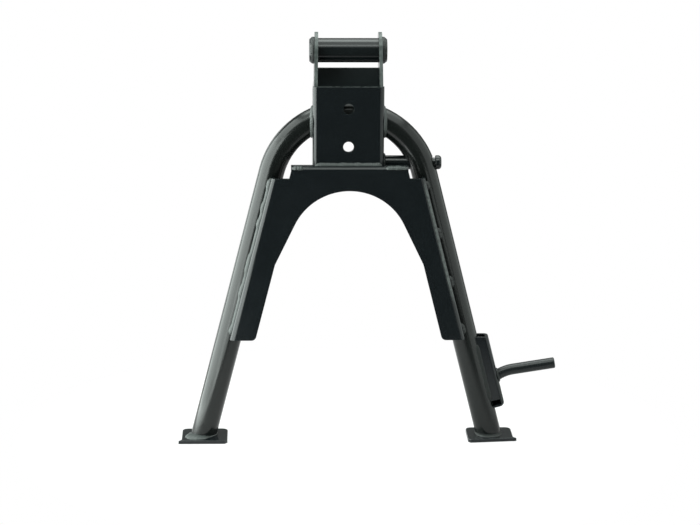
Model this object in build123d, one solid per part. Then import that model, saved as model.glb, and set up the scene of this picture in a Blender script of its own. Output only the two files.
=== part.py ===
"""Motorcycle centre stand: a bent tube bow on two feet, with a folded pivot bracket and a pressed gusset.

The stand is modelled upright on the floor, as it carries a motorcycle: X runs across it, Y from its front to
its back and Z up, with the bow in the plane y = 0. It is exported about the centre of its pivot barrel.
"""
from build123d import *
import math
import os

# Bow: round tube, bent to a half hoop that runs out into two straight legs
TUBE_D = 25.4
TUBE_WALL = 2.0
BOW_RADIUS = 77.9           # centre line of the hoop
BOW_CENTRE_HEIGHT = 255.3   # centre of the hoop above the floor
LEG_TILT = 14.3             # each leg from the vertical, in degrees

# Feet
FOOT_WIDTH = 46.0
FOOT_FRONT = 24.5           # from the bow's plane to the front edge
FOOT_BACK = 17.0
FOOT_THICK = 3.5
FOOT_TOE = 3.0              # how far the outer front corner runs out sideways
FOOT_SHIFT = 1.0            # both plates sit a little towards the lever's side
RIGHT_FOOT_SLANT = 5.0      # the right plate's front edge runs back this far to its outer corner

# Pivot: thick tube across the two ears
PIVOT_HEIGHT = 393.5
PIVOT_BACK = 12.0           # behind the bow's plane
BARREL_D = 24.0
BARREL_BORE = 14.2
BARREL_LENGTH = 76.6

# Pivot bracket: folded sheet, with a web in front and two walls that end in ears
BRACKET_SHEET = 3.5
BRACKET_WIDTH = 70.0
BRACKET_FRONT = 16.5        # face of the web in front of the bow's plane
BRACKET_BACK = 22.5
BRACKET_BEND = 4.5          # outer bend radius
WEB_BOTTOM = 283.4
WEB_TOP = 361.4
WALL_BOTTOM = 268.0
EAR_RADIUS = 18.0
JOGGLE_START = 353.0        # from here up both walls step in, so that the ears grip the barrel
EAR_ROOT = 33.9             # outer face of an ear from the middle, at the web's top
EAR_TIP = 33.1
BUFFER_HOLE_D = 10.5
BUFFER_HOLE_HEIGHTS = (302.0, 339.6)
BACK_PLATE_BOTTOM = 314.0
BACK_PLATE_TOP = 374.7

# Gusset: pressed sheet in front of the bow, folded back at its top and along both legs
GUSSET_SHEET = 3.0
GUSSET_FRONT = 23.0
GUSSET_BEND = 4.8
GUSSET_BOTTOM = 107.0
SHOULDER_HEIGHT = 271.3
TONGUE_WIDTH = 115.4        # at its top fold; its sides run parallel to the legs
BLANK_SHIFT = 1.2           # tongue and arch sit a little towards the lever's side
FLANGE_INBOARD = 0.6        # outer face of the side folds, inboard of the leg's centre line
FLANGE_DEPTH = 11.0         # depth of its folds, before their back edges are fitted to the tube
ARCH_RADIUS = 59.7
ARCH_CENTRE_HEIGHT = 199.4
ARCH_SPLAY = 25.9           # the arch's straight flanks, from the vertical, in degrees
ARCH_KINK_HEIGHT = 184.6
ARCH_KINK_RADIUS = 14.0
GUSSET_CORNER = 5.0
LEFT_STITCHES = ((264.0, 9.0), (241.0, 8.0), (224.5, 8.0), (184.0, 18.0), (155.5, 11.0), (113.5, 10.0))
RIGHT_STITCHES = ((263.0, 10.0), (214.0, 13.0), (165.0, 13.0), (116.0, 13.0))  # heights and lengths

# Spring peg: cross rod from the bracket's right wall through the right leg
PEG_D = 14.0
PEG_HEIGHT = 283.5
PEG_END = 92.6
PEG_HEAD = 6.2
PEG_NECK_D = 9.5
PEG_NECK = 2.8

# Foot lever and its channel, on the outside of the right leg
LEVER_D = 11.0
LEVER_TIP = (210.5, 76.9)   # across and up, centre of the cut end
LEVER_RISE = 9.0            # outer run, from the horizontal, in degrees
LEVER_STRAIGHT = 42.5
LEVER_BEND = 40.0
LEVER_TURN = 38.0
LEVER_EXIT_HEIGHT = 65.3
CHANNEL_WIDTH = 16.4
CHANNEL_SHEET = 3.0
CHANNEL_STANDOFF = 23.1     # outer face of its web, from the leg's centre line
CHANNEL_TOP = 105.7         # its top is cut level
CHANNEL_BOTTOM = 27.5       # its lower end is cut square to the leg
CHANNEL_BEND = 4.5
CHANNEL_CURL = 5.0          # outer radius of the web's curled lower end
CHANNEL_LIP = 6.0           # how far the front flange stops short of the curled end

WELD = 3.0                  # leg length of the ordinary bead
FOOT_WELD = 3.8

TILT = math.radians(LEG_TILT)
TUBE_R = TUBE_D / 2
LEG_AT_FLOOR = BOW_RADIUS / math.cos(TILT) + BOW_CENTRE_HEIGHT * math.tan(TILT)
DOWN_LEG = Vector(math.sin(TILT), 0, -math.cos(TILT))
OFF_LEG = Vector(math.cos(TILT), 0, math.sin(TILT))


def leg_point(height, off=0.0):
    """Point on the right leg's centre line at a height, moved straight off the leg, away from the middle."""
    return Vector(LEG_AT_FLOOR - height * math.tan(TILT), 0, height) + OFF_LEG * off


def both_sides(shape):
    """The shape of the right side with its mirror image on the left."""
    return [shape, mirror(shape, Plane.YZ)]


def between_heights(shape, low, high):
    """The stretch of a shape between two heights."""
    return shape & Pos(0, 0, (low + high) / 2) * Box(600, 600, high - low)


def front_slab(outline, face, thick):
    """An outline in X and Z as a plate, its front face this far in front of the bow's plane."""
    return extrude(Plane.XZ.offset(face) * outline, amount=thick, dir=(0, 1, 0))


def bow_sweep(radius):
    """Solid rod of this radius along the whole bow, run on below the floor."""
    left = Vector(-leg_point(-20).X, 0, -20)
    right = leg_point(-20)
    shoulder = Vector(BOW_RADIUS * math.cos(TILT), 0, BOW_CENTRE_HEIGHT + BOW_RADIUS * math.sin(TILT))
    crown = Vector(0, 0, BOW_CENTRE_HEIGHT + BOW_RADIUS)
    left_shoulder = Vector(-shoulder.X, 0, shoulder.Z)
    path = Wire([
        Edge.make_line(left, left_shoulder),
        Edge.make_three_point_arc(left_shoulder, crown, shoulder),
        Edge.make_line(shoulder, right),
    ])
    start = Plane(origin=left, z_dir=left_shoulder - left)
    return sweep(start * Circle(radius), path=path)


def bow_tube():
    """The bow with open legs, cut level where they stand on the feet, and drilled for the spring peg."""
    tube = bow_sweep(TUBE_R) - bow_sweep(TUBE_R - TUBE_WALL)
    tube = between_heights(tube, FOOT_THICK, PIVOT_HEIGHT)
    peg_hole = Pos(75, 0, PEG_HEIGHT) * Rot(0, 90, 0) * Cylinder(PEG_D / 2, 60)
    return tube - peg_hole


def foot_plate(slant):
    """Right foot: rounded at its back, cut off inside and drawn to a point at its outer front corner."""
    half = FOOT_WIDTH / 2
    toe = slant - FOOT_FRONT
    outline = Polygon(
        (-half, FOOT_BACK), (-half, 3.5 - FOOT_FRONT), (2.5 - half, -FOOT_FRONT),
        (half + FOOT_TOE, toe), (half, toe + 4), (half, FOOT_BACK), align=None)
    outline = fillet(outline.vertices().group_by(Axis.Y)[-1], 6)
    plate = extrude(outline, amount=FOOT_THICK, dir=(0, 0, 1))
    plate = fillet(plate.edges().group_by(Axis.Z)[-1], 0.8)
    return Pos(leg_point(FOOT_THICK).X, 0, 0) * plate


def foot_weld(tube):
    """Bead around the foot of the right leg, widest in front."""
    foot = leg_point(FOOT_THICK)
    top = leg_point(FOOT_THICK + FOOT_WELD)
    reach = TUBE_R / math.cos(TILT)
    low = Plane((foot.X, -2.6, FOOT_THICK)) * Ellipse(reach + 3.2, TUBE_R + 4)
    high = Plane((top.X, 0, FOOT_THICK + FOOT_WELD)) * Ellipse(reach + 0.4, TUBE_R + 0.4)
    return loft([low, high]) - tube


def pivot_barrel():
    """Thick-walled tube with chamfered ends."""
    barrel = Cylinder(BARREL_D / 2, BARREL_LENGTH) - Cylinder(BARREL_BORE / 2, BARREL_LENGTH)
    barrel = chamfer(barrel.edges().filter_by(GeomType.CIRCLE), 1.2)
    return Pos(0, PIVOT_BACK, PIVOT_HEIGHT) * Rot(0, 90, 0) * barrel


def barrel_weld(bracket):
    """Cone of weld between the right ear and the barrel's end."""
    seat = BARREL_D / 2
    ring = Polygon((-1, seat), (-1, seat + 2.4), (0.4, seat + 2.4), (3.8, seat), align=None)
    ring = Pos(EAR_TIP, PIVOT_BACK, PIVOT_HEIGHT) * revolve(Plane.XY * ring, axis=Axis.X)
    return ring - bracket


def bracket_wall():
    """Right wall: straight below, then stepped in above the bow to an ear that runs back to the barrel."""
    front = BRACKET_BEND - BRACKET_FRONT
    depth = BRACKET_BACK - front
    middle = (BRACKET_BACK + front) / 2
    lower = Pos(middle, (WALL_BOTTOM + WEB_TOP) / 2) * Rectangle(depth, WEB_TOP - WALL_BOTTOM)
    root = Pos(middle, WEB_TOP - 10) * Rectangle(depth, 20)
    eye = Pos(PIVOT_BACK, PIVOT_HEIGHT) * Circle(EAR_RADIUS)
    outline = lower + make_hull(root.edges() + eye.edges())
    face = [
        (BRACKET_WIDTH / 2, 0), (BRACKET_WIDTH / 2, JOGGLE_START), (EAR_ROOT, WEB_TOP),
        (EAR_TIP, PIVOT_HEIGHT + EAR_RADIUS)]
    back = [(x - BRACKET_SHEET, height) for x, height in reversed(face)]
    sheet = extrude(Plane.XZ * Polygon(*face, *back, align=None), amount=100, both=True)
    return sheet & extrude(Plane.YZ * outline, amount=BRACKET_WIDTH, dir=(1, 0, 0))


def pivot_bracket(bow):
    """Folded channel around the crown of the bow, with two buffer holes in its web and ears above."""
    outer = Rectangle(BRACKET_WIDTH, BRACKET_FRONT * 2)
    outer = fillet(outer.vertices().group_by(Axis.Y)[0], BRACKET_BEND)
    inner = Rectangle(BRACKET_WIDTH - 2 * BRACKET_SHEET, 2 * (BRACKET_FRONT - BRACKET_SHEET))
    inner = fillet(inner.vertices().group_by(Axis.Y)[0], BRACKET_BEND - BRACKET_SHEET)
    behind = Pos(0, 50) * Rectangle(200, 100 + 2 * (BRACKET_FRONT - BRACKET_BEND))
    fold = outer - inner - behind
    bracket = Pos(0, 0, WEB_BOTTOM) * extrude(fold, amount=WEB_TOP - WEB_BOTTOM, dir=(0, 0, 1))
    bracket += both_sides(bracket_wall())
    for height in BUFFER_HOLE_HEIGHTS:
        bracket -= Pos(0, -BRACKET_FRONT, height) * Rot(90, 0, 0) * Cylinder(BUFFER_HOLE_D / 2, 20)
    bracket -= Pos(BRACKET_WIDTH / 2, 0, PEG_HEIGHT) * Rot(0, 90, 0) * Cylinder(PEG_D / 2, 20)
    bracket -= Pos(0, PIVOT_BACK, PIVOT_HEIGHT) * Rot(0, 90, 0) * Cylinder(BARREL_D / 2, 100)
    return bracket - bow


def back_plate(bracket):
    """Flat plate between the walls, behind the bow and under the barrel."""
    width = BRACKET_WIDTH - 2 * BRACKET_SHEET
    outline = Pos(0, (BACK_PLATE_BOTTOM + BACK_PLATE_TOP) / 2) * Rectangle(
        width, BACK_PLATE_TOP - BACK_PLATE_BOTTOM)
    return front_slab(outline, BRACKET_SHEET - BRACKET_BACK, BRACKET_SHEET) - bracket


def bow_weld(bow):
    """Bead around the bow where it leaves the bracket's right wall."""
    rings = []
    for out, grow in ((BRACKET_WIDTH / 2, 1.9), (BRACKET_WIDTH / 2 + WELD, 0.3)):
        height = BOW_CENTRE_HEIGHT + math.sqrt(BOW_RADIUS**2 - out**2)
        tall = TUBE_R / math.sqrt(1 - (out / BOW_RADIUS)**2)
        section = Plane(origin=(out, 0, height), x_dir=(0, 1, 0), z_dir=(1, 0, 0))
        rings.append(section * Ellipse(TUBE_R + grow, tall + grow))
    return loft(rings) - bow


def web_weld(bracket, gusset):
    """Bead along the foot of the bracket's web, on the top fold of the gusset."""
    rod = Rot(0, 90, 0) * Cylinder(WELD, BRACKET_WIDTH - 4)
    return Pos(0, -BRACKET_FRONT, WEB_BOTTOM) * rod - bracket - gusset


def folded_edge(length):
    """Bend and flange along one edge of the gusset: local X points out of the edge, local Y to the back."""
    bend, sheet = GUSSET_BEND, GUSSET_SHEET
    outer = Circle(bend) - Circle(bend - sheet)
    quarter = Pos(-bend, bend) * (outer & Pos(bend / 2, -bend / 2) * Rectangle(bend, bend))
    flange = Pos(-sheet / 2, (bend + FLANGE_DEPTH) / 2) * Rectangle(sheet, FLANGE_DEPTH - bend)
    return extrude(quarter + flange, amount=length, dir=(0, 0, 1))


def arch():
    """Opening under the gusset: a round crown, splayed flanks, then flanks parallel to the legs."""
    splay = math.radians(ARCH_SPLAY)
    crown_x = ARCH_RADIUS * math.cos(splay)
    crown_z = ARCH_CENTRE_HEIGHT + ARCH_RADIUS * math.sin(splay)
    kink_x = crown_x + (crown_z - ARCH_KINK_HEIGHT) * math.tan(splay)
    low = GUSSET_BOTTOM - 20
    low_x = kink_x + (ARCH_KINK_HEIGHT - low) * math.tan(TILT)
    flanks = Polygon(
        (crown_x, crown_z), (kink_x, ARCH_KINK_HEIGHT), (low_x, low),
        (-low_x, low), (-kink_x, ARCH_KINK_HEIGHT), (-crown_x, crown_z), align=None)
    kinks = [v for v in flanks.vertices() if abs(v.Y - ARCH_KINK_HEIGHT) < 0.1]
    opening = fillet(kinks, ARCH_KINK_RADIUS) + Pos(0, ARCH_CENTRE_HEIGHT) * Circle(ARCH_RADIUS)
    return Pos(BLANK_SHIFT, 0) * opening


def gusset_plate(bow):
    """Pressed sheet with a folded tongue under the bracket and a folded edge along each leg."""
    fold_top = WEB_BOTTOM - GUSSET_BEND
    half = TONGUE_WIDTH / 2
    root = half + (fold_top - SHOULDER_HEIGHT) * math.tan(TILT)
    slant = (FLANGE_INBOARD + GUSSET_BEND) / math.cos(TILT)
    high = leg_point(SHOULDER_HEIGHT).X - slant
    low = leg_point(GUSSET_BOTTOM).X - slant
    outline = Polygon(
        (BLANK_SHIFT + half, fold_top), (BLANK_SHIFT + root, SHOULDER_HEIGHT),
        (high, SHOULDER_HEIGHT), (low, GUSSET_BOTTOM), (-low, GUSSET_BOTTOM), (-high, SHOULDER_HEIGHT),
        (BLANK_SHIFT - root, SHOULDER_HEIGHT), (BLANK_SHIFT - half, fold_top), align=None)
    outline -= arch()
    corners = [v for v in outline.vertices() if v.Y < GUSSET_BOTTOM + 1 and abs(v.X) < low - 5]
    plate = front_slab(fillet(corners, GUSSET_CORNER), GUSSET_FRONT, GUSSET_SHEET)
    top = Plane(origin=(BLANK_SHIFT + half, -GUSSET_FRONT, WEB_BOTTOM), x_dir=(0, 0, 1), z_dir=(-1, 0, 0))
    plate += top * folded_edge(TONGUE_WIDTH)
    heel = leg_point(GUSSET_BOTTOM - 10, -FLANGE_INBOARD)
    side = Plane(origin=(heel.X, -GUSSET_FRONT, heel.Z), x_dir=OFF_LEG, z_dir=DOWN_LEG * -1)
    flange = between_heights(side * folded_edge(200), GUSSET_BOTTOM, SHOULDER_HEIGHT)
    for edge in both_sides(flange):
        plate += edge
    return plate - bow


def gusset_stitches(bow, gusset, stitches):
    """Short beads between the right leg and the gusset's folded edge, each with its height and length."""
    beads = []
    for height, length in stitches:
        middle = leg_point(height, -FLANGE_INBOARD)
        bead = Plane(origin=(middle.X, -TUBE_R, middle.Z), z_dir=DOWN_LEG) * Cylinder(2.2, length)
        beads.append(bead - bow - gusset)
    return beads


def spring_peg():
    """Cross rod with a neck and a rounded head outside the leg, where the spring hooks sit."""
    start = BRACKET_WIDTH / 2 - BRACKET_SHEET
    neck_end = PEG_END - PEG_HEAD
    rod = Pos(0, 0, (start + neck_end - PEG_NECK) / 2) * Cylinder(PEG_D / 2, neck_end - PEG_NECK - start)
    neck = Pos(0, 0, neck_end - PEG_NECK / 2) * Cylinder(PEG_NECK_D / 2, PEG_NECK)
    head = Pos(0, 0, PEG_END - PEG_HEAD / 2) * Cylinder(PEG_D / 2, PEG_HEAD)
    head = fillet(head.edges().filter_by(GeomType.CIRCLE).sort_by(Axis.Z)[-1], 3.0)
    head = fillet(head.edges().filter_by(GeomType.CIRCLE).sort_by(Axis.Z)[0], 1.0)
    return Pos(0, 0, PEG_HEIGHT) * Rot(0, 90, 0) * (rod + neck + head)


def channel_form(standoff, width, length, bend, curl):
    """Solid form of the lever channel: X off the leg, Z up along it, its lower outer corner rounded."""
    outline = Polygon((0, 0), (standoff, 0), (standoff, -length), (0, -length), align=None)
    corner = outline.vertices().sort_by(Axis.X)[-2:].sort_by(Axis.Y)[0]
    form = extrude(Plane.XZ * fillet(corner, curl), amount=width / 2, both=True)
    rims = [
        edge for edge in form.edges()
        if abs(abs(edge.center().Y) - width / 2) < 0.01 and edge.center().X > 1 and edge.center().Z < -1]
    return fillet(rims, bend)


def lever_channel(tube):
    """Folded channel against the leg, its web curled in to the tube at the lower end."""
    sheet = CHANNEL_SHEET
    length = (CHANNEL_TOP + 10 - CHANNEL_BOTTOM) / math.cos(TILT)
    outer = channel_form(CHANNEL_STANDOFF, CHANNEL_WIDTH, length, CHANNEL_BEND, CHANNEL_CURL)
    inner = channel_form(
        CHANNEL_STANDOFF - sheet, CHANNEL_WIDTH - 2 * sheet, length - sheet + 20, CHANNEL_BEND - sheet,
        CHANNEL_CURL - sheet)
    solid = outer - Pos(0, 0, 20) * inner
    middle = (TUBE_R + CHANNEL_STANDOFF) / 2 - 3
    lip = Pos(middle, -CHANNEL_WIDTH / 2, CHANNEL_LIP / 2 + sheet - length)
    solid -= lip * Box(CHANNEL_STANDOFF - TUBE_R, CHANNEL_WIDTH, CHANNEL_LIP)
    along = Plane(origin=leg_point(CHANNEL_TOP + 10), x_dir=OFF_LEG, z_dir=DOWN_LEG * -1)
    return between_heights(along * solid, 0, CHANNEL_TOP) - tube


def channel_welds(tube, channel):
    """Beads down both flanges of the lever channel."""
    middle = leg_point((CHANNEL_TOP + CHANNEL_BOTTOM) / 2)
    half = CHANNEL_WIDTH / 2
    seat = middle + OFF_LEG * math.sqrt(TUBE_R**2 - half**2)
    length = (CHANNEL_TOP - CHANNEL_BOTTOM) / math.cos(TILT) - 20
    beads = []
    for side in (-half, half):
        bead = Plane(origin=(seat.X, side, seat.Z), z_dir=DOWN_LEG) * Cylinder(2.2, length)
        beads.append(bead - tube - channel)
    return beads


def foot_lever(tube):
    """Bent rod from the leg out through the channel, with a chamfered end."""
    rise = math.radians(LEVER_RISE)
    tip = Vector(LEVER_TIP[0], 0, LEVER_TIP[1])
    outward = Vector(math.cos(rise), 0, math.sin(rise))
    bend_start = tip - outward * LEVER_STRAIGHT
    centre = bend_start + Vector(-math.sin(rise), 0, math.cos(rise)) * -LEVER_BEND
    points = []
    for turn in (LEVER_TURN, LEVER_TURN / 2):
        angle = math.radians(LEVER_RISE + turn)
        points.append(centre + Vector(-math.sin(angle), 0, math.cos(angle)) * LEVER_BEND)
    path = Wire([Edge.make_three_point_arc(*points, bend_start), Edge.make_line(bend_start, tip)])
    start_angle = math.radians(LEVER_RISE + LEVER_TURN)
    start = Plane(origin=points[0], z_dir=(math.cos(start_angle), 0, math.sin(start_angle)))
    rod = sweep(start * Circle(LEVER_D / 2), path=path)
    end = rod.edges().filter_by(GeomType.CIRCLE).sort_by(Axis.X)[-1]
    return chamfer(end, 0.8) - tube


def lever_weld(channel, lever):
    """Collar of weld around the lever where it leaves the channel."""
    low, high = CHANNEL_STANDOFF - 1.5, CHANNEL_STANDOFF + 1.6
    collar = Cone(LEVER_D / 2 + 1.6, LEVER_D / 2 + 0.4, high - low)
    seat = Plane(origin=leg_point(LEVER_EXIT_HEIGHT, (low + high) / 2), z_dir=OFF_LEG)
    return seat * collar - channel - lever


def peg_weld():
    """Cone of weld around the spring peg on the bracket's right wall."""
    ring = Polygon((0, PEG_D / 2), (0, PEG_D / 2 + WELD), (WELD - 0.5, PEG_D / 2), align=None)
    ring = Pos(BRACKET_WIDTH / 2, 0, 0) * revolve(Plane.XY * ring, axis=Axis.X)
    return Pos(0, 0, PEG_HEIGHT) * ring


def build():
    """Every piece of the stand by name, standing on the floor."""
    bow = bow_sweep(TUBE_R)
    tube = bow_tube()
    gusset = gusset_plate(bow)
    bracket = pivot_bracket(bow)
    lever = foot_lever(bow)
    channel = lever_channel(bow) - lever
    foot_beads = both_sides(foot_weld(bow))
    barrel_beads = both_sides(barrel_weld(bracket))
    bow_beads = both_sides(bow_weld(bow))
    left_stitches = [
        mirror(bead, Plane.YZ) for bead in gusset_stitches(bow, mirror(gusset, Plane.YZ), LEFT_STITCHES)]
    return {
        "bow_tube": tube,
        "pivot_bracket": bracket,
        "back_plate": back_plate(bracket),
        "pivot_barrel": pivot_barrel(),
        "gusset_plate": gusset,
        "right_foot_plate": Pos(FOOT_SHIFT, 0, 0) * foot_plate(RIGHT_FOOT_SLANT),
        "left_foot_plate": Pos(FOOT_SHIFT, 0, 0) * mirror(foot_plate(0.0), Plane.YZ),
        "spring_peg": spring_peg(),
        "lever_channel": channel,
        "foot_lever": lever,
        "right_foot_weld": foot_beads[0],
        "left_foot_weld": foot_beads[1],
        "right_barrel_weld": barrel_beads[0],
        "left_barrel_weld": barrel_beads[1],
        "right_bow_weld": bow_beads[0],
        "left_bow_weld": bow_beads[1],
        "web_weld": web_weld(bracket, gusset),
        "peg_weld": peg_weld(),
        "lever_weld": lever_weld(channel, lever),
        "channel_welds": Compound(children=channel_welds(bow, channel)),
        "right_gusset_stitches": Compound(children=gusset_stitches(bow, gusset, RIGHT_STITCHES)),
        "left_gusset_stitches": Compound(children=left_stitches),
    }


os.makedirs("parts", exist_ok=True)
for name, shape in build().items():
    export_step(Pos(0, -PIVOT_BACK, -PIVOT_HEIGHT) * shape, f"parts/{name}.step")
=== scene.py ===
"""Motorcycle centre stand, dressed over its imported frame.

The stand is a weldment of tube and folded sheet in black powder coat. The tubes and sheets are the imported
solids, and every bead of weld is laid here. Each section is one piece, in the order in which the stand is
made. Names that end in _mm are in millimetres, and such heights are above the floor; other sizes are in
metres.
"""
import math

import bmesh
import bpy
from mathutils import Matrix, Vector, noise


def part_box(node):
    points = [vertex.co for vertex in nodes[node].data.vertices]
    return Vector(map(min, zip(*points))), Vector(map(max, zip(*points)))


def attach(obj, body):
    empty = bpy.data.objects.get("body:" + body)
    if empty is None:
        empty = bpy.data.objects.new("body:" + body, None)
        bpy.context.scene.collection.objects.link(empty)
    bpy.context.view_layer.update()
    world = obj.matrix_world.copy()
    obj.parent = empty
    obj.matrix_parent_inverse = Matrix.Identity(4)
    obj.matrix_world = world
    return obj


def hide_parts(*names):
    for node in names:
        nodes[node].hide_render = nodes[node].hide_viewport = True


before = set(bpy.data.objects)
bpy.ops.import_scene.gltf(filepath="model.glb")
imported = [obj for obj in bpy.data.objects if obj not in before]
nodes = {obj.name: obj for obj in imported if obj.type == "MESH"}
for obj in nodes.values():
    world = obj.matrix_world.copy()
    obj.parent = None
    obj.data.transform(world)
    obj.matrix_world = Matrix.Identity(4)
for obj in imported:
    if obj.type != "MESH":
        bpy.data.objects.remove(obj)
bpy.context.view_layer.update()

# Camera: a long lens a little left of the middle, looking down on the stand by 13.5 degrees.
# Its place is worked out from the frame: the floor under the feet and the plane of the bow. In that plane
# the picture is 0.7 m wide, which makes each of its 700 pixels one millimetre.
floor_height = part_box("right_foot_plate")[0][2]
bow_low, bow_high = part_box("bow_tube")
bow_plane = (bow_low[1] + bow_high[1]) / 2
camera_yaw, camera_pitch, camera_roll = (math.radians(angle) for angle in (2.0, 13.5, 0.35))
camera_distance = 2.4
target_right, target_height = 0.0027, 0.1815
sensor_width_mm = 36
picture_width = 0.7
camera_target = Vector((target_right, bow_plane, floor_height + target_height))
backwards = Vector((
    -math.sin(camera_yaw) * math.cos(camera_pitch),
    -math.cos(camera_yaw) * math.cos(camera_pitch),
    math.sin(camera_pitch)))
camera_data = bpy.data.cameras.new("camera")
camera_data.sensor_width = sensor_width_mm
camera_data.lens = camera_distance * sensor_width_mm / picture_width
camera_data.clip_start = 0.1
camera = bpy.data.objects.new("camera", camera_data)
bpy.context.scene.collection.objects.link(camera)
aim = (-backwards).to_track_quat("-Z", "Y").to_matrix().to_4x4()
roll = Matrix.Rotation(camera_roll, 4, "Z")
camera.matrix_world = Matrix.Translation(camera_target + backwards * camera_distance) @ aim @ roll
bpy.context.scene.camera = camera

# Studio: the stand is on a small sheet of white paper, in a room that is dim in front and paler behind.
# Soft boxes stand all along its left, three hang over it, and its right gets weaker ones.


def linear(code):
    """An sRGB colour, written as six hex digits, in linear light."""
    levels = (int(code[i:i + 2], 16) / 255 for i in (0, 2, 4))
    return tuple(c / 12.92 if c <= 0.04045 else ((c + 0.055) / 1.055) ** 2.4 for c in levels) + (1.0,)


def empty_tree(owner):
    """The node tree of a new material or world, cleared."""
    owner.use_nodes = True
    owner.node_tree.nodes.clear()
    return owner.node_tree


def add_node(tree, kind, settings=None, sockets=None):
    """Adds a node; each socket, by name or number, is given a value or another node's output to link from."""
    node = tree.nodes.new(kind)
    for name, value in (settings or {}).items():
        setattr(node, name, value)
    for key, value in (sockets or {}).items():
        if isinstance(value, bpy.types.NodeSocket):
            tree.links.new(value, node.inputs[key])
        else:
            node.inputs[key].default_value = value
    return node


def maths(tree, operation, first, second=0.0):
    """The result of an operation on two numbers, or on the first alone."""
    return add_node(tree, "ShaderNodeMath", {"operation": operation}, {0: first, 1: second}).outputs[0]


def ramp(tree, value, start, end, at_start=0.0, at_end=1.0, smooth=True):
    """A number that goes from at_start to at_end while the value goes from start to end, and stops there."""
    settings = {"interpolation_type": "SMOOTHSTEP"} if smooth else {}
    return add_node(tree, "ShaderNodeMapRange", settings, {
        "Value": value, "From Min": start, "From Max": end, "To Min": at_start, "To Max": at_end}).outputs[0]


def axes(tree, vector):
    """A vector's three numbers, as outputs named X, Y and Z."""
    return add_node(tree, "ShaderNodeSeparateXYZ", sockets={0: vector}).outputs


# Matt white paper. The eye sees it white with a faint shadow of the stand, which is gone 0.34 m away; the
# gloss sees it dimmer, most of all on the right, as it would in a room lit from the left.
paper_near, paper_far, paper_half = bow_plane - 0.34, bow_plane + 0.9, 0.55
paper_height = floor_height - 0.0002
shadow_full, shadow_gone, shadow_share = 0.2, 0.34, 0.2
loss_left, loss_right, loss_left_x, loss_right_x = 0.2, 0.5, -0.1, 0.2
white = linear("ffffff")

white_paper = bpy.data.materials.new("white_paper")
tree = empty_tree(white_paper)
ray = add_node(tree, "ShaderNodeLightPath").outputs
place = add_node(tree, "ShaderNodeTexCoord").outputs["Object"]
away = add_node(tree, "ShaderNodeVectorMath", {"operation": "DISTANCE"}, {
    0: place, 1: Vector((0, bow_plane, floor_height))}).outputs["Value"]
white_share = ramp(tree, away, shadow_full, shadow_gone, 1 - shadow_share, 1.0)
seen = maths(tree, "MAXIMUM", ray["Is Camera Ray"], ray["Is Transmission Ray"])
seen = maths(tree, "MAXIMUM", seen, ray["Is Glossy Ray"])
share = maths(tree, "MULTIPLY", seen, white_share)
loss = ramp(tree, axes(tree, place)["X"], loss_left_x, loss_right_x, loss_left, loss_right)
level = maths(tree, "SUBTRACT", 1.0, maths(tree, "MULTIPLY", loss, ray["Is Glossy Ray"]))
paper = add_node(tree, "ShaderNodeBsdfDiffuse", sockets={"Color": linear("f4f4f4")}).outputs[0]
glow = add_node(tree, "ShaderNodeEmission", sockets={"Color": white, "Strength": level}).outputs[0]
mix = add_node(tree, "ShaderNodeMixShader", sockets={0: share, 1: paper, 2: glow}).outputs[0]
add_node(tree, "ShaderNodeOutputMaterial", sockets={"Surface": mix})

floor_mesh = bpy.data.meshes.new("floor")
floor_mesh.from_pydata([
    (-paper_half, paper_near, paper_height), (paper_half, paper_near, paper_height),
    (paper_half, paper_far, paper_height), (-paper_half, paper_far, paper_height)], [], [(0, 1, 2, 3)])
floor_mesh.materials.append(white_paper)
floor = bpy.data.objects.new("floor", floor_mesh)
bpy.context.scene.collection.objects.link(floor)

# The room is white to the eye all round. The gloss sees it white straight behind, where the eye does too,
# and elsewhere dim: darkest in front, where nothing is lit, and paler on the right and behind. A direction
# is a vector of length 1, towards the right, the back and the top.
front_level, right_level, back_level = 0.1, 0.25, 0.24

world = bpy.data.worlds.new("studio")
bpy.context.scene.world = world
tree = empty_tree(world)
ray = add_node(tree, "ShaderNodeLightPath").outputs
toward = axes(tree, add_node(tree, "ShaderNodeTexCoord").outputs["Generated"])
on_right = ramp(tree, toward["X"], 0.1, 0.7, front_level, right_level)
behind = ramp(tree, toward["Y"], -0.2, 0.7, front_level, back_level)
dim = maths(tree, "MAXIMUM", on_right, behind)
straight_behind = ramp(tree, toward["Y"], 0.95, 0.985)
low_enough = ramp(tree, toward["Z"], 0.12, 0.06)
backdrop = maths(tree, "MULTIPLY", straight_behind, low_enough)
seen = maths(tree, "MAXIMUM", ray["Is Camera Ray"], ray["Is Transmission Ray"])
seen = maths(tree, "MAXIMUM", seen, maths(tree, "MULTIPLY", backdrop, ray["Is Glossy Ray"]))
dim_room = add_node(tree, "ShaderNodeBackground", sockets={
    "Color": linear("f0f6f2"), "Strength": dim}).outputs[0]
white_room = add_node(tree, "ShaderNodeBackground", sockets={"Color": white, "Strength": 1.0}).outputs[0]
mix = add_node(tree, "ShaderNodeMixShader", sockets={0: seen, 1: dim_room, 2: white_room}).outputs[0]
add_node(tree, "ShaderNodeOutputWorld", sockets={"Surface": mix})


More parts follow.
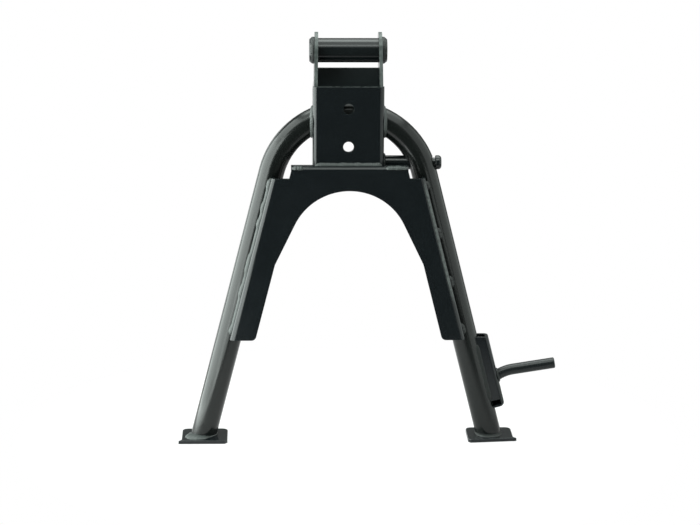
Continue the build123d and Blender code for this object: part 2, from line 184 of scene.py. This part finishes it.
def soft_box(name, azimuth, distance, height, size, brightness, tilt=0.0):
    """A soft box that faces the stand.

    Its azimuth is in degrees from the stand's front towards its right, its size is its width and height, and
    its brightness is that of its face. It is upright, and a tilt in degrees turns it to face down, or up
    where the tilt is below 0.
    """
    data = bpy.data.lights.new(name, "AREA")
    data.shape = "RECTANGLE"
    data.size, data.size_y = size
    data.energy = brightness * math.pi * size[0] * size[1]
    data.color = linear("f2fbf7")[:3]
    box = bpy.data.objects.new(name, data)
    bpy.context.scene.collection.objects.link(box)
    turn = math.radians(azimuth)
    spot = Vector((distance * math.sin(turn), bow_plane - distance * math.cos(turn), floor_height + height))
    inward = Vector((-math.sin(turn), math.cos(turn), -math.tan(math.radians(tilt))))
    box.matrix_world = Matrix.Translation(spot) @ inward.to_track_quat("-Z", "Y").to_matrix().to_4x4()
    box.visible_camera = False


soft_box("left_front_box", -50, 1.9, 0.4, (0.98, 1.4), 5.9)
soft_box("left_box", -94, 1.3, 0.35, (1.44, 1.2), 6.4)
soft_box("left_back_box", -142, 1.8, 0.3, (1.0, 1.2), 1.4)
soft_box("left_high_box", -85, 1.2, 1.27, (1.9, 0.65), 4.0, tilt=39)
soft_box("right_box", 86, 1.3, 0.6, (2.3, 1.5), 1.0)
soft_box("left_low_box", -33, 1.9, 0.06, (0.42, 0.5), 1.5)
soft_box("left_floor_box", -75, 0.31, 0.013, (0.48, 0.026), 4.3)
soft_box("right_low_box", 30, 1.5, 0.06, (0.5, 0.18), 1.5)
soft_box("low_box", -38, 0.36, 0.075, (0.15, 0.13), 4.2, tilt=-29)
soft_box("top_box", 90, 0.2, 1.5, (2.75, 2.2), 1.9, tilt=89.9)
soft_box("front_top_strip", 0, 0.695, 1.35, (1.4, 0.28), 3.4, tilt=89.9)
soft_box("back_top_strip", 180, 0.32, 1.35, (1.4, 0.47), 3.7, tilt=89.9)

# Bow: one length of welded steel tube, 25.4 mm across, drawn round a former to a half hoop with two
# straight legs. Its black powder coat is glossy, with a faint orange peel and the tube's long draw lines.
tube_radius_mm = 12.7
hoop_radius_mm = 77.9
hoop_height_mm = 255.3
leg_tilt = math.radians(14.3)
hoop_centre = Vector((0, 0, floor_height + hoop_height_mm / 1000))
cloud_mm = 26
line_spacing_mm, line_stretch, line_depth_mm = 1.6, 50, 0.05


def leg_directions(side):
    """Directions outwards, square to the leg, and down it, for the left leg (-1) or the right one (1)."""
    outwards = Vector((side * math.cos(leg_tilt), 0, math.sin(leg_tilt)))
    down = Vector((side * math.sin(leg_tilt), 0, -math.cos(leg_tilt)))
    return outwards, down


def dot(tree, first, second):
    """The dot product of two vectors."""
    product = add_node(tree, "ShaderNodeVectorMath", {"operation": "DOT_PRODUCT"}, {0: first, 1: second})
    return product.outputs["Value"]


def from_hoop_centre(tree, place):
    """A place on the stand, from the middle of the bow's hoop."""
    offset = add_node(tree, "ShaderNodeVectorMath", {"operation": "SUBTRACT"}, {0: place, 1: hoop_centre})
    return offset.outputs["Vector"]


def blend_colours(tree, share, first, second):
    """The first colour, or the second by its share. The sockets are numbered, as their names are shared."""
    return add_node(tree, "ShaderNodeMix", {"data_type": "RGBA"}, {
        "Factor": share, 6: first, 7: second}).outputs[2]


def blend_numbers(tree, share, first, second):
    """The first number, or the second by its share."""
    return add_node(tree, "ShaderNodeMix", {"data_type": "FLOAT"}, {
        "Factor": share, 2: first, 3: second}).outputs[0]


def powder_coat(name, colour, haze, peel_mm, peel_depth_mm, height=None, rounding_mm=0.0, painted_sheen=None):
    """Polyester powder baked on to blasted steel: near black, with a hazy gloss that varies over the surface.

    It gives the eye soft grey reflections with an uneven edge. The haze is how rough it is. The peel is the
    coat's dimples, and height makes another relief below it, in metres. rounding_mm is how far the coat
    rounds a sharp edge, where its colour is also painted greyer as a painted edge highlight. The last
    argument makes a mask of a painted sheen, where the coat is painted grey and made rougher.
    """
    material = bpy.data.materials.new(name)
    tree = empty_tree(material)
    place = add_node(tree, "ShaderNodeTexCoord").outputs["Object"]
    cloud = add_node(tree, "ShaderNodeTexNoise", sockets={
        "Vector": place, "Scale": 1000 / cloud_mm, "Detail": 4.0, "Roughness": 0.6}).outputs["Fac"]
    roughness = ramp(tree, cloud, 0.3, 0.7, haze - 0.03, haze + 0.04, smooth=False)
    clean = linear(colour)
    dusty = tuple(level * 1.35 + 0.0004 for level in clean[:3]) + (1.0,)
    tone = blend_colours(tree, cloud, clean, dusty)
    relief = {}
    # Painted highlight: with a rounding, the edges are painted greyer where the bevel bends the normal.
    if rounding_mm:
        rounded = add_node(tree, "ShaderNodeBevel", {"samples": 4}, {
            "Radius": rounding_mm / 1000}).outputs["Normal"]
        flat = add_node(tree, "ShaderNodeNewGeometry").outputs["Normal"]
        edge = ramp(tree, dot(tree, rounded, flat), 0.995, 0.85, 0.0, 0.8, smooth=False)
        tone = blend_colours(tree, edge, tone, linear("3f4745"))
        relief["Normal"] = rounded
    # Painted sheen: under the mask the coat is painted grey, and made rougher.
    if painted_sheen:
        mask = painted_sheen(tree, place)
        tone = blend_colours(tree, mask, tone, linear("535957"))
        roughness = blend_numbers(tree, mask, roughness, 0.5)
    if height:
        relief["Normal"] = add_node(tree, "ShaderNodeBump", sockets={
            **relief, "Height": height(tree, place), "Distance": 1.0}).outputs["Normal"]
    peel = add_node(tree, "ShaderNodeTexNoise", sockets={
        "Vector": place, "Scale": 1000 / peel_mm, "Detail": 1.5}).outputs["Fac"]
    dimpled = add_node(tree, "ShaderNodeBump", sockets={
        **relief, "Height": peel, "Distance": peel_depth_mm / 1000}).outputs["Normal"]
    coat = add_node(tree, "ShaderNodeBsdfPrincipled", sockets={
        "Base Color": tone, "Roughness": roughness, "IOR": 1.46, "Normal": dimpled}).outputs[0]
    add_node(tree, "ShaderNodeOutputMaterial", sockets={"Surface": coat})
    return material


def draw_lines(tree, place):
    """Relief of the tube's draw lines, in metres: long thin lines round the hoop and down both legs."""
    offset = axes(tree, from_hoop_centre(tree, place))
    aside = maths(tree, "ABSOLUTE", offset["X"])
    in_plane = add_node(tree, "ShaderNodeCombineXYZ", sockets={"X": aside, "Z": offset["Z"]}).outputs[0]
    off_leg, down_leg = leg_directions(1)
    across = dot(tree, in_plane, off_leg)
    along = dot(tree, in_plane, -down_leg)
    radius = add_node(tree, "ShaderNodeVectorMath", {"operation": "LENGTH"}, {0: in_plane}).outputs["Value"]
    on_hoop = maths(tree, "GREATER_THAN", along, 0.0)
    drawn = add_node(tree, "ShaderNodeCombineXYZ", sockets={
        "X": blend_numbers(tree, on_hoop, across, radius), "Y": offset["Y"],
        "Z": maths(tree, "MULTIPLY", along, 1 / line_stretch)}).outputs[0]
    lines = add_node(tree, "ShaderNodeTexNoise", sockets={
        "Vector": drawn, "Scale": 1000 / line_spacing_mm, "Detail": 2.0, "Roughness": 0.6}).outputs["Fac"]
    return maths(tree, "MULTIPLY", lines, line_depth_mm / 1000)


tube_coat = powder_coat(
    "tube_powder_coat", "0b0e0d", haze=0.17, peel_mm=2.6, peel_depth_mm=0.006, height=draw_lines)
nodes["bow_tube"].material_slots[0].material = tube_coat

# Foot plates: 3.5 mm sheet, cut to shape, with the outer front corner drawn to a toe. Their coat is smooth
# and glossy black, as on most of the sheet here, with a painted edge highlight: painted greyer on its edges.
foot_plate_mm = 3.5
sheet_finish = {"colour": "0b0f11", "haze": 0.16, "peel_mm": 2.6, "peel_depth_mm": 0.005, "rounding_mm": 0.35}
sheet_coat = powder_coat("sheet_powder_coat", **sheet_finish)
for name in ("left_foot_plate", "right_foot_plate"):
    nodes[name].material_slots[0].material = sheet_coat

# Foot welds: a fillet of weld all round each leg, laid from the front. The left one runs out in a fan
# towards the toe and is painted paler, a painted highlight from the light on the left; the right one is a
# flat bead along the front.
fan_right, fan_back = -0.56, -0.83
left_bead_mm, fan_reach_mm, fan_climb_mm = 0.8, 10.8, 1.6
right_bead_mm, front_reach_mm, front_climb_mm = 0.9, 5.2, 1.2

# Powder over a weld: rough and dull, so that the ripples show softly.
weld_coat = powder_coat("powder_coat_over_weld", "141817", haze=0.46, peel_mm=1.1, peel_depth_mm=0.05)

# A paler copy of the same coat, for the welds that catch the light: its paler colour is a painted highlight.
lit_weld_coat = powder_coat(
    "lit_powder_coat_over_weld", "383c3b", haze=0.4, peel_mm=1.1, peel_depth_mm=0.05)


def at(x_mm, y_mm, z_mm):
    """Point by its distance from the middle, from the bow's plane towards the back, and from the floor."""
    return Vector((x_mm / 1000, bow_plane + y_mm / 1000, floor_height + z_mm / 1000))


def leg_x_mm(height_mm):
    """How far a leg's centre line is from the middle, at a height on its straight run."""
    return hoop_radius_mm / math.cos(leg_tilt) + (hoop_height_mm - height_mm) * math.tan(leg_tilt)


def full_turn(steps):
    """The angles of a full turn in equal steps."""
    return [2 * math.pi * step / steps for step in range(steps)]


def lay_bead(
        node, corners, closed=False, pitch_mm=2.0, ripple=0.09, swell=0.1, wander=0.22, seed=0.0, name=None,
        coat=weld_coat):
    """Lays a bead in a corner between two surfaces, in overlapping ripples, in place of a node's solid.

    Each corner is its root, the directions in which the two surfaces leave it, and the bead's reach in
    millimetres up each of them. Corners are about half a millimetre apart. An open bead tapers at its ends.
    The swell is how far the bead bulges and the ripple how high its ripples stand, both as a share of its two
    reaches together. The wander is how much its edges stray, as a share of its reach.
    """
    sections = 9
    taper_corners = 6
    slow_mm, quick_mm = 5, 1.7
    edge_depth, root_depth = 0.0003, 0.0006
    vertices, faces = [], []
    travelled_mm = 0.0
    count = len(corners)
    for index, (root, first, second, reach_first, reach_second) in enumerate(corners):
        if index:
            travelled_mm += (root - corners[index - 1][0]).length * 1000
        slow = noise.noise(Vector((travelled_mm / slow_mm, seed, 0)))
        quick = noise.noise(Vector((travelled_mm / quick_mm, seed, 3)))
        uneven = 1 + wander * (slow + 0.45 * quick)
        from_end = min(index, count - 1 - index) + 0.3
        end = 1.0 if closed else min(1.0, math.sqrt(from_end / taper_corners))
        first_toe = root + first * reach_first * uneven * end / 1000 - second * edge_depth
        second_toe = root + second * reach_second * uneven * end / 1000 - first * edge_depth
        outward = (first + second).normalized()
        for step in range(sections):
            share = step / (sections - 1)
            lag = 0.3 * (2 * share - 1) ** 2
            crest = abs(math.sin(math.pi * (travelled_mm / pitch_mm + lag)))
            proud = math.sin(math.pi * share) * end * (swell + ripple * crest)
            bulge = outward * proud * (reach_first + reach_second) / 1000
            vertices.append(first_toe.lerp(second_toe, share) + bulge)
        vertices.append(root - outward * root_depth)
    ring = sections + 1
    for index in range(count if closed else count - 1):
        start, after = index * ring, (index + 1) % count * ring
        for step in range(ring):
            beyond = (step + 1) % ring
            faces.append((start + step, start + beyond, after + beyond, after + step))
    if not closed:
        faces.append(tuple(range(ring))[::-1])
        faces.append(tuple(range((count - 1) * ring, count * ring)))
    mesh = bpy.data.meshes.new(name or f"{node}_bead")
    mesh.from_pydata(vertices, [], faces)
    shell = bmesh.new()
    shell.from_mesh(mesh)
    bmesh.ops.recalc_face_normals(shell, faces=shell.faces)
    shell.to_mesh(mesh)
    shell.free()
    mesh.shade_smooth()
    mesh.materials.append(coat)
    bead = bpy.data.objects.new(mesh.name, mesh)
    bpy.context.scene.collection.objects.link(bead)
    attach(bead, "root")
    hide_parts(node)


for side, node in ((-1, "left_foot_weld"), (1, "right_foot_weld")):
    up_leg = -leg_directions(side)[1]
    corners = []
    for angle in full_turn(170):
        across, deep = math.cos(angle), math.sin(angle)
        root = at(
            side * leg_x_mm(foot_plate_mm) + across * tube_radius_mm / math.cos(leg_tilt),
            deep * tube_radius_mm, foot_plate_mm)
        outward = Vector((across * math.cos(leg_tilt), deep, 0)).normalized()
        if side < 0:
            fan = max(0.0, fan_right * across + fan_back * deep) ** 3
            reach_mm = left_bead_mm + fan_reach_mm * fan
            climb_mm = left_bead_mm + fan_climb_mm * fan
        else:
            front = max(0.0, -deep)
            reach_mm = right_bead_mm + front_reach_mm * front**2
            climb_mm = right_bead_mm + front_climb_mm * front
        corners.append((root, outward, up_leg, reach_mm, climb_mm))
    lay_bead(
        node, corners, closed=True, pitch_mm=2.4, ripple=0.025, seed=3.0 + side,
        coat=lit_weld_coat if side < 0 else weld_coat)

# Pivot bracket: a channel folded from one 3.5 mm sheet round the crown of the bow, with two ears that step
# in to hold the barrel. The ears' edges are left as cut and ribbed, so the coat over them is rougher; their
# grey is a painted sheen, for the light that the rough edges scatter.
web_top_mm = 361.4
sheen_noise_mm = 5
wall_mm = 35.0


def within(tree, value, low, high, soft):
    """1 where a value lies between two limits and 0 elsewhere, with soft ends."""
    rise = ramp(tree, value, low - soft, low + soft)
    fall = ramp(tree, value, high + soft, high - soft)
    return maths(tree, "MULTIPLY", rise, fall)


def cut_edges(tree, place):
    """Painted sheen mask: the ears' cut edges above the web, off their flat sides, patchy with noise."""
    above_all = 1.0
    ears = within(tree, axes(tree, place)["Z"], floor_height + web_top_mm / 1000, above_all, 0.0004)
    facing = axes(tree, add_node(tree, "ShaderNodeNewGeometry").outputs["Normal"])
    edge = within(tree, facing["X"], -0.6, 0.6, 0.1)
    sheen_noise = add_node(tree, "ShaderNodeTexNoise", sockets={
        "Vector": place, "Scale": 1000 / sheen_noise_mm, "Detail": 3.0}).outputs["Fac"]
    patchy = ramp(tree, sheen_noise, 0.35, 0.65, 0.45, 1.0, smooth=False)
    return maths(tree, "MULTIPLY", maths(tree, "MULTIPLY", ears, edge), patchy)


bracket_coat = powder_coat("bracket_powder_coat", **sheet_finish, painted_sheen=cut_edges)
nodes["pivot_bracket"].material_slots[0].material = bracket_coat

# Back plate: a flat sheet, 3.5 mm thick, welded in between the bracket's walls behind the bow. Its coat is
# rougher than on the open sheet, and painted a paler dark grey: painted light that lifts the shade in its
# recess.
dull_coat_painted_light = powder_coat(
    "dull_powder_coat_painted_light", "262c2d", haze=0.3, peel_mm=2.6, peel_depth_mm=0.005, rounding_mm=0.35)
nodes["back_plate"].material_slots[0].material = dull_coat_painted_light

# Pivot barrel: thick-walled steel tube, 24 mm across, pushed through both ears, faced and chamfered at its
# ends. Its coat lies smoothly on the turned steel and gives long streaks of light.
barrel_radius_mm = 12.0
barrel_coat = powder_coat(
    "barrel_powder_coat", "0b0f10", haze=0.17, peel_mm=2.6, peel_depth_mm=0.006, rounding_mm=0.35)
nodes["pivot_barrel"].material_slots[0].material = barrel_coat

# Barrel welds: a long flat fillet from each ear out to the barrel's end, laid in one turn. It reaches
# further along the barrel than up the ear. The frame's origin is the middle of the barrel's bore.
ear_face_mm = 33.4
up_ear_mm, along_barrel_mm = 1.2, 3.4
for side, node in ((-1, "left_barrel_weld"), (1, "right_barrel_weld")):
    corners = []
    for angle in full_turn(150):
        outward = Vector((0, math.cos(angle), math.sin(angle)))
        root = (Vector((side * ear_face_mm, 0, 0)) + outward * barrel_radius_mm) / 1000
        corners.append((root, outward, Vector((side, 0, 0)), up_ear_mm, along_barrel_mm))
    lay_bead(node, corners, closed=True, pitch_mm=2.2, seed=11.0 + side)

# Bow welds: a fillet round the bow where it leaves each wall of the bracket. It follows the slanting cut
# where the round tube meets the flat wall, and is thickest in front, where the torch reached best.
on_wall_mm, on_tube_mm = 1.7, 2.2
front_on_wall_mm, front_on_tube_mm = 0.8, 1.4
crown_mm = math.sqrt(hoop_radius_mm**2 - wall_mm**2)
# Both beads get the paler coat, as a painted highlight.
for side, node in ((-1, "left_bow_weld"), (1, "right_bow_weld")):
    corners = []
    for angle in full_turn(170):
        radius_mm = hoop_radius_mm + tube_radius_mm * math.sin(angle)
        rise_mm = math.sqrt(radius_mm**2 - wall_mm**2)
        root = at(side * wall_mm, tube_radius_mm * math.cos(angle), hoop_height_mm + rise_mm)
        outward = Vector((0, tube_radius_mm * math.cos(angle), rise_mm - crown_mm)).normalized()
        along = Vector((side * rise_mm / radius_mm, 0, -wall_mm / radius_mm))
        front = max(0.0, -math.cos(angle))
        reach_mm = on_wall_mm + front_on_wall_mm * front
        along_mm = on_tube_mm + front_on_tube_mm * front
        corners.append((root, outward, along, reach_mm, along_mm))
    lay_bead(node, corners, closed=True, seed=21.0 + side, coat=lit_weld_coat)

# Gusset: pressed from 3 mm sheet, with a folded tongue under the bracket and a fold down each leg.
# The right fold's bend catches the light along its upper half; there the coat is painted grey and made
# rougher, as a painted highlight.
highlight_low_mm, highlight_high_mm = 150, 266
fold_inner_mm, fold_outer_mm = hoop_radius_mm - 3.6, hoop_radius_mm - 1.4
ragged_mm = 3


def fold_highlight(tree, place):
    """Mask of the painted highlight: a strip of the right fold, beside the leg, with ragged ends."""
    across = dot(tree, from_hoop_centre(tree, place), leg_directions(1)[0])
    fold = within(tree, across, fold_inner_mm / 1000, fold_outer_mm / 1000, 0.0006)
    low, high = floor_height + highlight_low_mm / 1000, floor_height + highlight_high_mm / 1000
    run = within(tree, axes(tree, place)["Z"], low, high, 0.008)
    ragged_noise = add_node(tree, "ShaderNodeTexNoise", sockets={
        "Vector": place, "Scale": 1000 / ragged_mm, "Detail": 3.0}).outputs["Fac"]
    ragged = ramp(tree, ragged_noise, 0.35, 0.6, 0.3, 1.0, smooth=False)
    return maths(tree, "MULTIPLY", maths(tree, "MULTIPLY", fold, run), ragged)


gusset_coat = powder_coat("gusset_powder_coat", **sheet_finish, painted_sheen=fold_highlight)
nodes["gusset_plate"].material_slots[0].material = gusset_coat

# Web weld: one run along the foot of the bracket's web, on the gusset's top fold, with a short run beside
# it at each end of the fold. Laid hot, so the beads are proud; they are painted paler as a painted highlight.
web_left_mm, web_front_mm, fold_top_mm, web_run_mm = -33, -16.5, 283.4, 66
up_web_mm, over_fold_mm = 3.0, 2.4
bend_front_mm, bend_height_mm = -20.3, 280.7
bend_forward_mm, bend_up_mm = 3.4, 3.2
bend_runs = ((-56.0, -43.0), (36.0, 58.0))
right, forward, up = Vector((1, 0, 0)), Vector((0, -1, 0)), Vector((0, 0, 1))


def straight_run(start, direction, length_mm):
    """Points half a millimetre apart on a straight line."""
    gap_mm = 0.5
    return [start + direction * step * gap_mm / 1000 for step in range(int(length_mm / gap_mm) + 1)]


corners = []
for root in straight_run(at(web_left_mm, web_front_mm, fold_top_mm), right, web_run_mm):
    corners.append((root, up, forward, up_web_mm, over_fold_mm))
lay_bead("web_weld", corners, pitch_mm=2.3, seed=31.0, coat=lit_weld_coat)

for number, (start_mm, end_mm) in enumerate(bend_runs):
    corners = []
    for root in straight_run(at(start_mm, bend_front_mm, bend_height_mm), right, end_mm - start_mm):
        corners.append((root, forward, up, bend_forward_mm, bend_up_mm))
    lay_bead(
        "web_weld", corners, pitch_mm=2.8, swell=0.12, wander=0.35, seed=33.0 + number,
        name=f"web_weld_end_{number}", coat=lit_weld_coat)

# Gusset stitches: short welds that bridge the groove between each leg and the gusset's fold. Between the
# left ones, laid hotter, a thin run of weld follows the fold and leaves the groove open. Each stitch and
# run is given by the height of its middle and its length, in millimetres.
left_stitches = ((264.0, 9.0), (241.0, 8.0), (224.5, 8.0), (184.0, 18.0), (155.5, 11.0), (113.5, 10.0))
left_run = ((190.5, 165.0),)
right_stitches = ((263.0, 10.0), (214.0, 13.0), (165.0, 13.0), (116.0, 13.0))
fold_face_mm, groove_front_mm = 0.6, -12.68
proud_mm, across_mm = 3.9, 2.1
stitch_proud_mm, stitch_across_mm = 0.3, 1.1
stitch_fade_mm = 4
# The left ones, on the lit side, get the paler coat: a painted highlight.
left_look = {"ripple": 0.02, "swell": 0.16, "wander": 0.07, "coat": lit_weld_coat}
right_look = {"ripple": 0.05, "swell": 0.1, "wander": 0.2, "coat": weld_coat}
for side, node, stitches, runs, look in (
        (-1, "left_gusset_stitches", left_stitches, left_run, left_look),
        (1, "right_gusset_stitches", right_stitches, right_stitches, right_look)):
    off_leg, down_leg = leg_directions(side)
    for number, (middle_mm, length_mm) in enumerate(runs):
        middle = at(side * leg_x_mm(middle_mm), groove_front_mm, middle_mm) - off_leg * fold_face_mm / 1000
        corners = []
        for root in straight_run(middle - down_leg * length_mm / 2000, down_leg, length_mm):
            height_mm = (root.z - floor_height) * 1000
            past_end_mm = min(abs(height_mm - stitch_mm) - long_mm / 2 for stitch_mm, long_mm in stitches)
            stitch = min(1.0, max(0.0, 0.5 - past_end_mm / stitch_fade_mm))
            reach_mm = proud_mm + stitch_proud_mm * stitch
            width_mm = across_mm + stitch_across_mm * stitch
            corners.append((root, forward, off_leg, reach_mm, width_mm))
        lay_bead(node, corners, pitch_mm=3.0, seed=41.0 + number + side, name=f"{node}_{number}", **look)

# Spring peg: a turned steel rod, 14 mm across, pushed through the right leg and welded to the bracket's
# wall, with a neck and a domed head for the springs' hooks. It is coated as the barrel is.
peg_radius_mm, peg_height_mm = 7.0, 283.5
peg_on_wall_mm, along_peg_mm = 2.6, 2.2
nodes["spring_peg"].material_slots[0].material = barrel_coat
corners = []
for angle in full_turn(100):
    outward = Vector((0, math.cos(angle), math.sin(angle)))
    root = at(wall_mm, 0, peg_height_mm) + outward * peg_radius_mm / 1000
    corners.append((root, outward, right, peg_on_wall_mm, along_peg_mm))
lay_bead("peg_weld", corners, closed=True, seed=51.0)

# Lever channel: sheet folded to a short channel, its open side set on the outside of the right leg, with the
# lever through its web. A fillet along each flank holds it, and its coat is that of the other sheet.
channel_middle_mm, channel_length_mm, flank_mm = 66.6, 60, 8.2
up_flank_mm, round_leg_mm = 2.3, 2.2
nodes["lever_channel"].material_slots[0].material = sheet_coat
off_leg, down_leg = leg_directions(1)
seat_mm = math.sqrt(tube_radius_mm**2 - flank_mm**2)
for number, flank in enumerate((-1, 1)):
    middle = at(leg_x_mm(channel_middle_mm), flank * flank_mm, channel_middle_mm) + off_leg * seat_mm / 1000
    round_leg = (off_leg * -flank_mm + Vector((0, flank * seat_mm, 0))).normalized()
    corners = []
    for root in straight_run(middle - down_leg * channel_length_mm / 2000, down_leg, channel_length_mm):
        corners.append((root, off_leg, round_leg, up_flank_mm, round_leg_mm))
    lay_bead("channel_welds", corners, seed=61.0 + number, name=f"channel_welds_{number}")

# Foot lever: an 11 mm rod, bent by 38 degrees and cut square, welded where it comes out of the channel.
# Its coat is nearer to satin than on the other pieces, and gives one broad, soft streak.
rod_radius_mm = 5.5
lever_angle = math.radians(33.1)
exit_right_mm, exit_height_mm = 152.93, 64.24
on_channel_mm, along_rod_mm = 1.8, 1.6
rod_coat = powder_coat(
    "rod_powder_coat", "0b0f10", haze=0.28, peel_mm=2.6, peel_depth_mm=0.006, rounding_mm=0.35)
nodes["foot_lever"].material_slots[0].material = rod_coat
lever_out = Vector((math.cos(lever_angle), 0, math.sin(lever_angle)))
corners = []
for angle in full_turn(90):
    spread = Vector((0, math.cos(angle), 0)) - down_leg * math.sin(angle) / math.cos(lever_angle - leg_tilt)
    root = at(exit_right_mm, 0, exit_height_mm) + spread * rod_radius_mm / 1000
    corners.append((root, spread.normalized(), lever_out, on_channel_mm, along_rod_mm))
lay_bead("lever_weld", corners, closed=True, seed=71.0)

bpy.context.scene.view_settings.view_transform = "Standard"
